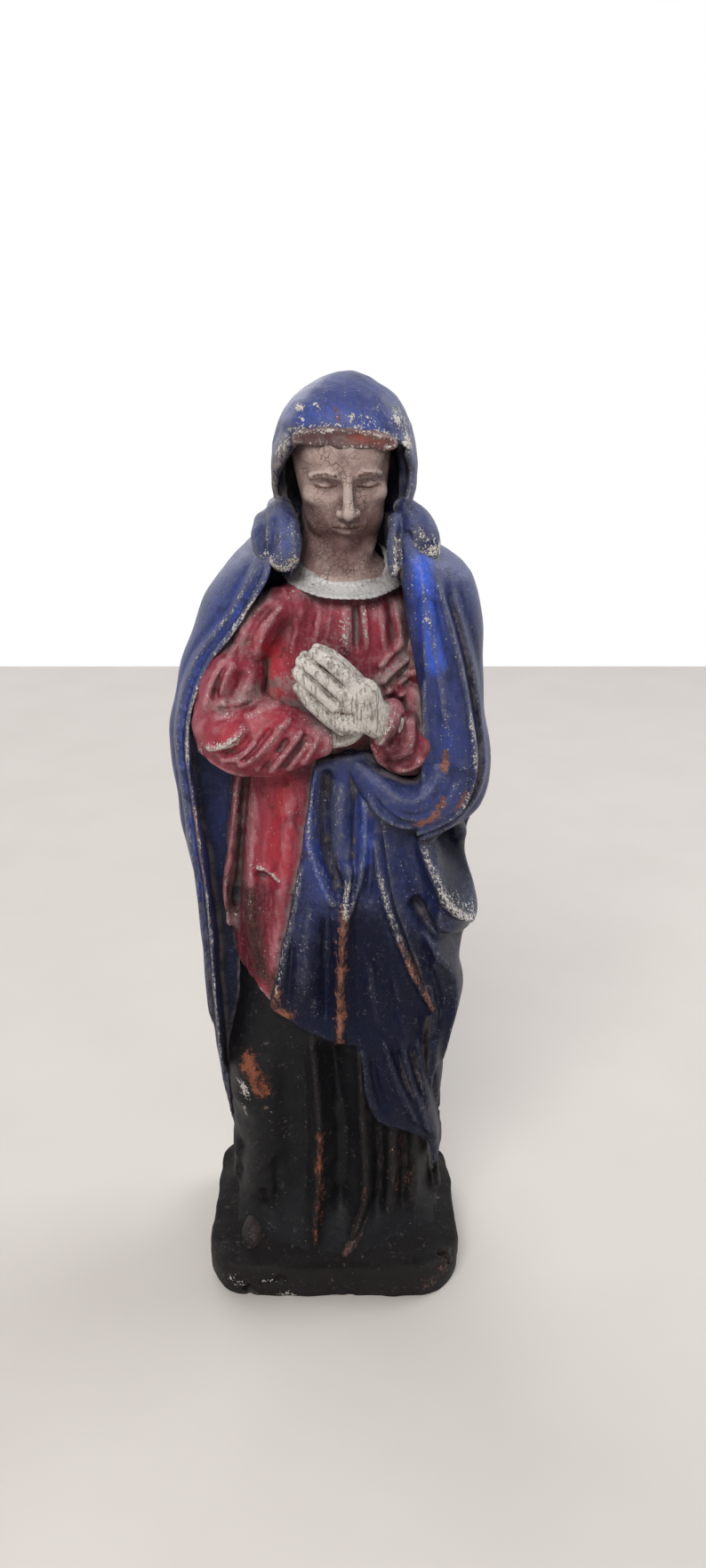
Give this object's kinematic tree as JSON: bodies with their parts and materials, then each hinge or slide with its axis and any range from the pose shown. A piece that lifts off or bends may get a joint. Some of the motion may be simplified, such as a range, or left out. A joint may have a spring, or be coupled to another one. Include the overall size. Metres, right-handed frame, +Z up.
{
  "type": "painted devotional statuette",
  "caption": "Standing hooded figure in a long gown and mantle, hands joined in prayer, on a low rounded plinth, built of pegged sections.",
  "frame": {"origin": "middle of the plinth's flat underside", "axes": "+Z up from the underside to the top of the hood, -Y the way the face looks, +X towards the figure's left hand"},
  "size_m": [0.0489, 0.0363, 0.15],
  "materials": {
    "plinth_paint": "dark olive-grey paint over fired clay, satin, worn at the edges",
    "skirt_paint": "near-black blue-green paint over fired clay, satin, chipped",
    "gown_paint": "crimson paint over a white ground on fired clay, satin, rubbed",
    "mantle_paint": "ultramarine paint over a white ground on fired clay, slightly glossy, chipped",
    "flesh_paint": "pinkish beige paint with fine cracks, satin",
    "collar_paint": "silver-white paint, satin",
    "hand_paint": "silver-beige paint, satin, brown in the grooves",
    "brow_paint": "reddish-brown ground showing through rubbed paint",
    "shoe_paint": "dark brown paint over fired clay, satin",
    "timber": "plain sawn hardwood dowel"
  },
  "bodies": {
    "root": {"plinth": "plinth_paint", "underskirt": "skirt_paint", "gown": "gown_paint", "neckband": "collar_paint", "head": "flesh_paint", "hood": "mantle_paint", "brow_band": "brow_paint", "shoulder_flap_right": "mantle_paint", "shoulder_flap_left": "mantle_paint", "mantle_back": "mantle_paint", "mantle_right": "mantle_paint", "mantle_left": "mantle_paint", "arm_loop": "mantle_paint", "front_drape": "mantle_paint", "side_drape": "mantle_paint", "sleeve_right": "gown_paint", "sleeve_left": "gown_paint", "hand_right": "hand_paint", "hand_left": "hand_paint", "shoe_right": "shoe_paint", "shoe_left": "shoe_paint", "core_rod": "timber", "hood_peg": "timber", "mantle_pegs": "timber", "drape_pegs": "timber", "sleeve_pegs": "timber", "wrist_pegs": "timber"}
  },
  "joints": []
}
